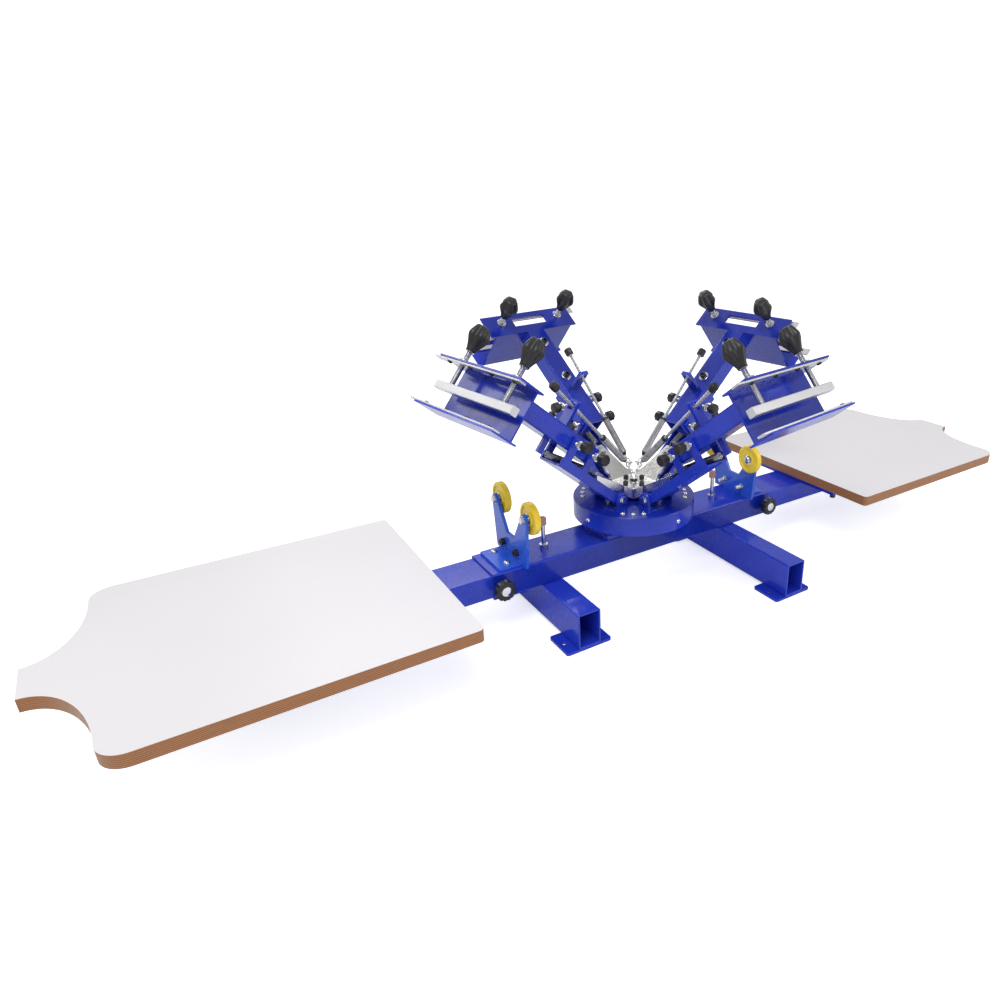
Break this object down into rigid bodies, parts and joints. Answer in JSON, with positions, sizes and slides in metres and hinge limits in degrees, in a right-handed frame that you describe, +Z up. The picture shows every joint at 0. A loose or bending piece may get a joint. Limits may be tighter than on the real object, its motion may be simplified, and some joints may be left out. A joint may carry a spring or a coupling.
{
  "type": "tabletop screen printing press",
  "caption": "Bench screen printing press: sprung print arms with screen clamps on a turntable, over a beam that carries a board at each end.",
  "frame": {"origin": "on the bench top, on the turntable's axis", "axes": "+X along the beam to the right-hand board, +Y to the back, +Z up"},
  "size_m": [1.94, 0.7944, 0.5352],
  "materials": {
    "blue_paint": "glossy powder coat",
    "bright_blue_paint": "glossy powder coat",
    "zinc_hardware": "bright zinc plate",
    "stainless_plate": "satin stainless sheet",
    "stop_rubber": "matt rubber cap on a plated screw",
    "laminated_board": "pale laminate faces on plywood with an open edge",
    "black_knob": "moulded plastic knob on a plated screw",
    "yellow_roller": "smooth moulded roller",
    "clamp_aluminium": "satin extruded bar",
    "spring_steel": "bright wire spring and rod"
  },
  "bodies": {
    "base": {"beam": "blue_paint", "legs": "blue_paint", "gate_plates": "bright_blue_paint", "base_fasteners": "zinc_hardware", "height_stops": "stop_rubber", "hub_base": "blue_paint"},
    "turntable": {"hub_bearings": "zinc_hardware", "turntable_drum": "blue_paint", "pivot_pins": "zinc_hardware", "star_plate": "stainless_plate", "turntable_fasteners": "zinc_hardware", "eye_bolt": "zinc_hardware"},
    "arm_1": {"lower_arm_1": "blue_paint", "lift_spring_1": "spring_steel"},
    "head_1": {"upper_arm_1": "blue_paint"},
    "clamp_1": {"clamp_bar_1": "clamp_aluminium"},
    "clamp_screw_1_a": {"clamp_screw_1_a": "black_knob"},
    "clamp_screw_1_b": {"clamp_screw_1_b": "black_knob"},
    "cross_screw_1_rear": {"cross_screw_1_rear": "black_knob"},
    "cross_screw_1_front": {"cross_screw_1_front": "black_knob"},
    "tension_rod_1": {"tension_rod_1": "spring_steel"},
    "arm_2": {"lower_arm_2": "blue_paint", "lift_spring_2": "spring_steel"},
    "head_2": {"upper_arm_2": "blue_paint"},
    "clamp_2": {"clamp_bar_2": "clamp_aluminium"},
    "clamp_screw_2_a": {"clamp_screw_2_a": "black_knob"},
    "clamp_screw_2_b": {"clamp_screw_2_b": "black_knob"},
    "cross_screw_2_rear": {"cross_screw_2_rear": "black_knob"},
    "cross_screw_2_front": {"cross_screw_2_front": "black_knob"},
    "tension_rod_2": {"tension_rod_2": "spring_steel"},
    "arm_3": {"lower_arm_3": "blue_paint", "lift_spring_3": "spring_steel"},
    "head_3": {"upper_arm_3": "blue_paint"},
    "clamp_3": {"clamp_bar_3": "clamp_aluminium"},
    "clamp_screw_3_a": {"clamp_screw_3_a": "black_knob"},
    "clamp_screw_3_b": {"clamp_screw_3_b": "black_knob"},
    "cross_screw_3_rear": {"cross_screw_3_rear": "black_knob"},
    "cross_screw_3_front": {"cross_screw_3_front": "black_knob"},
    "tension_rod_3": {"tension_rod_3": "spring_steel"},
    "arm_4": {"lower_arm_4": "blue_paint", "lift_spring_4": "spring_steel"},
    "head_4": {"upper_arm_4": "blue_paint"},
    "clamp_4": {"clamp_bar_4": "clamp_aluminium"},
    "clamp_screw_4_a": {"clamp_screw_4_a": "black_knob"},
    "clamp_screw_4_b": {"clamp_screw_4_b": "black_knob"},
    "cross_screw_4_rear": {"cross_screw_4_rear": "black_knob"},
    "cross_screw_4_front": {"cross_screw_4_front": "black_knob"},
    "tension_rod_4": {"tension_rod_4": "spring_steel"},
    "platen_left": {"platen_arm_left": "blue_paint", "platen_left": "laminated_board", "platen_screws_left": "black_knob"},
    "lock_knob_left": {"lock_knob_left": "black_knob"},
    "gate_roller_left_front": {"gate_roller_left_front": "yellow_roller"},
    "gate_roller_left_back": {"gate_roller_left_back": "yellow_roller"},
    "platen_right": {"platen_arm_right": "blue_paint", "platen_right": "laminated_board", "platen_screws_right": "black_knob"},
    "lock_knob_right": {"lock_knob_right": "black_knob"},
    "gate_roller_right_front": {"gate_roller_right_front": "yellow_roller"},
    "gate_roller_right_back": {"gate_roller_right_back": "yellow_roller"}
  },
  "joints": [
    {"name": "turntable_turn", "type": "hinge", "parent": "base", "child": "turntable", "pos_m": [0, 0, 0.146], "axis": [0, 0, 1], "continuous": true},
    {"name": "arm_lift_1", "type": "hinge", "parent": "turntable", "child": "arm_1", "pos_m": [0.06119, 0.01002, 0.197], "axis": [-0.1616, 0.9869, 0], "range_deg": [0, 23], "stiffness_Nm_per_rad": 8, "springref_deg": -51.57, "deforming": ["lift_spring_1"]},
    {"name": "rod_tilt_1", "type": "hinge", "parent": "turntable", "child": "tension_rod_1", "pos_m": [0.01579, 0.00259, 0.246], "axis": [-0.1616, 0.9869, 0], "range_deg": [0, 21.5]},
    {"name": "register_slide_1", "type": "slide", "parent": "arm_1", "child": "head_1", "axis": [-0.1616, 0.9869, 0], "range_m": [-0.0018, 0.0018]},
    {"name": "register_screw_1_rear", "type": "hinge", "parent": "arm_1", "child": "cross_screw_1_rear", "pos_m": [0.12529, 0.02052, 0.2985], "axis": [-0.1616, 0.9869, 0], "range_deg": [-325, 325]},
    {"name": "register_screw_1_front", "type": "hinge", "parent": "arm_1", "child": "cross_screw_1_front", "pos_m": [0.16233, 0.02658, 0.32999], "axis": [-0.1616, 0.9869, 0], "range_deg": [-325, 325]},
    {"name": "clamp_slide_1", "type": "slide", "parent": "head_1", "child": "clamp_1", "axis": [0.6343, 0.1039, -0.766], "range_m": [0, 0.015]},
    {"name": "clamp_turn_1_a", "type": "hinge", "parent": "clamp_1", "child": "clamp_screw_1_a", "pos_m": [0.34286, -0.0158, 0.44632], "axis": [0.6343, 0.1039, -0.766], "range_deg": [0, 1081]},
    {"name": "clamp_turn_1_b", "type": "hinge", "parent": "clamp_1", "child": "clamp_screw_1_b", "pos_m": [0.31991, 0.12433, 0.44632], "axis": [0.6343, 0.1039, -0.766], "range_deg": [0, 1081]},
    {"name": "arm_lift_2", "type": "hinge", "parent": "turntable", "child": "arm_2", "pos_m": [-0.01002, 0.06119, 0.197], "axis": [-0.9869, -0.1616, 0], "range_deg": [0, 40], "stiffness_Nm_per_rad": 8, "springref_deg": -51.57, "deforming": ["lift_spring_2"]},
    {"name": "rod_tilt_2", "type": "hinge", "parent": "turntable", "child": "tension_rod_2", "pos_m": [-0.00259, 0.01579, 0.246], "axis": [-0.9869, -0.1616, 0], "range_deg": [0, 37.2]},
    {"name": "register_slide_2", "type": "slide", "parent": "arm_2", "child": "head_2", "axis": [-0.9869, -0.1616, 0], "range_m": [-0.0018, 0.0018]},
    {"name": "register_screw_2_rear", "type": "hinge", "parent": "arm_2", "child": "cross_screw_2_rear", "pos_m": [-0.02052, 0.12529, 0.2985], "axis": [-0.9869, -0.1616, 0], "range_deg": [-325, 325]},
    {"name": "register_screw_2_front", "type": "hinge", "parent": "arm_2", "child": "cross_screw_2_front", "pos_m": [-0.02658, 0.16233, 0.32999], "axis": [-0.9869, -0.1616, 0], "range_deg": [-325, 325]},
    {"name": "clamp_slide_2", "type": "slide", "parent": "head_2", "child": "clamp_2", "axis": [-0.1039, 0.6343, -0.766], "range_m": [0, 0.015]},
    {"name": "clamp_turn_2_a", "type": "hinge", "parent": "clamp_2", "child": "clamp_screw_2_a", "pos_m": [0.0158, 0.34286, 0.44632], "axis": [-0.1039, 0.6343, -0.766], "range_deg": [0, 1081]},
    {"name": "clamp_turn_2_b", "type": "hinge", "parent": "clamp_2", "child": "clamp_screw_2_b", "pos_m": [-0.12433, 0.31991, 0.44632], "axis": [-0.1039, 0.6343, -0.766], "range_deg": [0, 1081]},
    {"name": "arm_lift_3", "type": "hinge", "parent": "turntable", "child": "arm_3", "pos_m": [-0.06119, -0.01002, 0.197], "axis": [0.1616, -0.9869, 0], "range_deg": [0, 23], "stiffness_Nm_per_rad": 8, "springref_deg": -51.57, "deforming": ["lift_spring_3"]},
    {"name": "rod_tilt_3", "type": "hinge", "parent": "turntable", "child": "tension_rod_3", "pos_m": [-0.01579, -0.00259, 0.246], "axis": [0.1616, -0.9869, 0], "range_deg": [0, 21.5]},
    {"name": "register_slide_3", "type": "slide", "parent": "arm_3", "child": "head_3", "axis": [0.1616, -0.9869, 0], "range_m": [-0.0018, 0.0018]},
    {"name": "register_screw_3_rear", "type": "hinge", "parent": "arm_3", "child": "cross_screw_3_rear", "pos_m": [-0.12529, -0.02052, 0.2985], "axis": [0.1616, -0.9869, 0], "range_deg": [-325, 325]},
    {"name": "register_screw_3_front", "type": "hinge", "parent": "arm_3", "child": "cross_screw_3_front", "pos_m": [-0.16233, -0.02658, 0.32999], "axis": [0.1616, -0.9869, 0], "range_deg": [-325, 325]},
    {"name": "clamp_slide_3", "type": "slide", "parent": "head_3", "child": "clamp_3", "axis": [-0.6343, -0.1039, -0.766], "range_m": [0, 0.015]},
    {"name": "clamp_turn_3_a", "type": "hinge", "parent": "clamp_3", "child": "clamp_screw_3_a", "pos_m": [-0.34286, 0.0158, 0.44632], "axis": [-0.6343, -0.1039, -0.766], "range_deg": [0, 1081]},
    {"name": "clamp_turn_3_b", "type": "hinge", "parent": "clamp_3", "child": "clamp_screw_3_b", "pos_m": [-0.31991, -0.12433, 0.44632], "axis": [-0.6343, -0.1039, -0.766], "range_deg": [0, 1081]},
    {"name": "arm_lift_4", "type": "hinge", "parent": "turntable", "child": "arm_4", "pos_m": [0.01002, -0.06119, 0.197], "axis": [0.9869, 0.1616, 0], "range_deg": [0, 40], "stiffness_Nm_per_rad": 8, "springref_deg": -51.57, "deforming": ["lift_spring_4"]},
    {"name": "rod_tilt_4", "type": "hinge", "parent": "turntable", "child": "tension_rod_4", "pos_m": [0.00259, -0.01579, 0.246], "axis": [0.9869, 0.1616, 0], "range_deg": [0, 37.2]},
    {"name": "register_slide_4", "type": "slide", "parent": "arm_4", "child": "head_4", "axis": [0.9869, 0.1616, 0], "range_m": [-0.0018, 0.0018]},
    {"name": "register_screw_4_rear", "type": "hinge", "parent": "arm_4", "child": "cross_screw_4_rear", "pos_m": [0.02052, -0.12529, 0.2985], "axis": [0.9869, 0.1616, 0], "range_deg": [-325, 325]},
    {"name": "register_screw_4_front", "type": "hinge", "parent": "arm_4", "child": "cross_screw_4_front", "pos_m": [0.02658, -0.16233, 0.32999], "axis": [0.9869, 0.1616, 0], "range_deg": [-325, 325]},
    {"name": "clamp_slide_4", "type": "slide", "parent": "head_4", "child": "clamp_4", "axis": [0.1039, -0.6343, -0.766], "range_m": [0, 0.015]},
    {"name": "clamp_turn_4_a", "type": "hinge", "parent": "clamp_4", "child": "clamp_screw_4_a", "pos_m": [-0.0158, -0.34286, 0.44632], "axis": [0.1039, -0.6343, -0.766], "range_deg": [0, 1081]},
    {"name": "clamp_turn_4_b", "type": "hinge", "parent": "clamp_4", "child": "clamp_screw_4_b", "pos_m": [0.12433, -0.31991, 0.44632], "axis": [0.1039, -0.6343, -0.766], "range_deg": [0, 1081]},
    {"name": "platen_slide_left", "type": "slide", "parent": "base", "child": "platen_left", "axis": [-1, 0, 0], "range_m": [-0.04, 0.06]},
    {"name": "lock_turn_left", "type": "hinge", "parent": "base", "child": "lock_knob_left", "pos_m": [-0.312, -0.045, 0.098], "axis": [0, -1, 0], "range_deg": [0, 360]},
    {"name": "roller_spin_left_front", "type": "hinge", "parent": "base", "child": "gate_roller_left_front", "pos_m": [-0.253, -0.055, 0.216], "axis": [1, 0, 0], "continuous": true},
    {"name": "roller_spin_left_back", "type": "hinge", "parent": "base", "child": "gate_roller_left_back", "pos_m": [-0.253, 0.055, 0.216], "axis": [1, 0, 0], "continuous": true},
    {"name": "platen_slide_right", "type": "slide", "parent": "base", "child": "platen_right", "axis": [1, 0, 0], "range_m": [-0.04, 0.06]},
    {"name": "lock_turn_right", "type": "hinge", "parent": "base", "child": "lock_knob_right", "pos_m": [0.312, -0.045, 0.098], "axis": [0, -1, 0], "range_deg": [0, 360]},
    {"name": "roller_spin_right_front", "type": "hinge", "parent": "base", "child": "gate_roller_right_front", "pos_m": [0.253, -0.055, 0.216], "axis": [1, 0, 0], "continuous": true},
    {"name": "roller_spin_right_back", "type": "hinge", "parent": "base", "child": "gate_roller_right_back", "pos_m": [0.253, 0.055, 0.216], "axis": [1, 0, 0], "continuous": true}
  ],
  "couplings": [
    {"joint": "rod_tilt_1", "follows": "arm_lift_1", "ratio": 0.9232},
    {"joint": "register_screw_1_rear", "follows": "register_slide_1", "rad_per_m": -3141.6},
    {"joint": "register_screw_1_front", "follows": "register_slide_1", "rad_per_m": -3141.6},
    {"joint": "clamp_turn_1_a", "follows": "clamp_slide_1", "rad_per_m": 1256.6},
    {"joint": "clamp_turn_1_b", "follows": "clamp_slide_1", "rad_per_m": 1256.6},
    {"joint": "rod_tilt_2", "follows": "arm_lift_2", "ratio": 0.9232},
    {"joint": "register_screw_2_rear", "follows": "register_slide_2", "rad_per_m": -3141.6},
    {"joint": "register_screw_2_front", "follows": "register_slide_2", "rad_per_m": -3141.6},
    {"joint": "clamp_turn_2_a", "follows": "clamp_slide_2", "rad_per_m": 1256.6},
    {"joint": "clamp_turn_2_b", "follows": "clamp_slide_2", "rad_per_m": 1256.6},
    {"joint": "rod_tilt_3", "follows": "arm_lift_3", "ratio": 0.9232},
    {"joint": "register_screw_3_rear", "follows": "register_slide_3", "rad_per_m": -3141.6},
    {"joint": "register_screw_3_front", "follows": "register_slide_3", "rad_per_m": -3141.6},
    {"joint": "clamp_turn_3_a", "follows": "clamp_slide_3", "rad_per_m": 1256.6},
    {"joint": "clamp_turn_3_b", "follows": "clamp_slide_3", "rad_per_m": 1256.6},
    {"joint": "rod_tilt_4", "follows": "arm_lift_4", "ratio": 0.9232},
    {"joint": "register_screw_4_rear", "follows": "register_slide_4", "rad_per_m": -3141.6},
    {"joint": "register_screw_4_front", "follows": "register_slide_4", "rad_per_m": -3141.6},
    {"joint": "clamp_turn_4_a", "follows": "clamp_slide_4", "rad_per_m": 1256.6},
    {"joint": "clamp_turn_4_b", "follows": "clamp_slide_4", "rad_per_m": 1256.6}
  ]
}
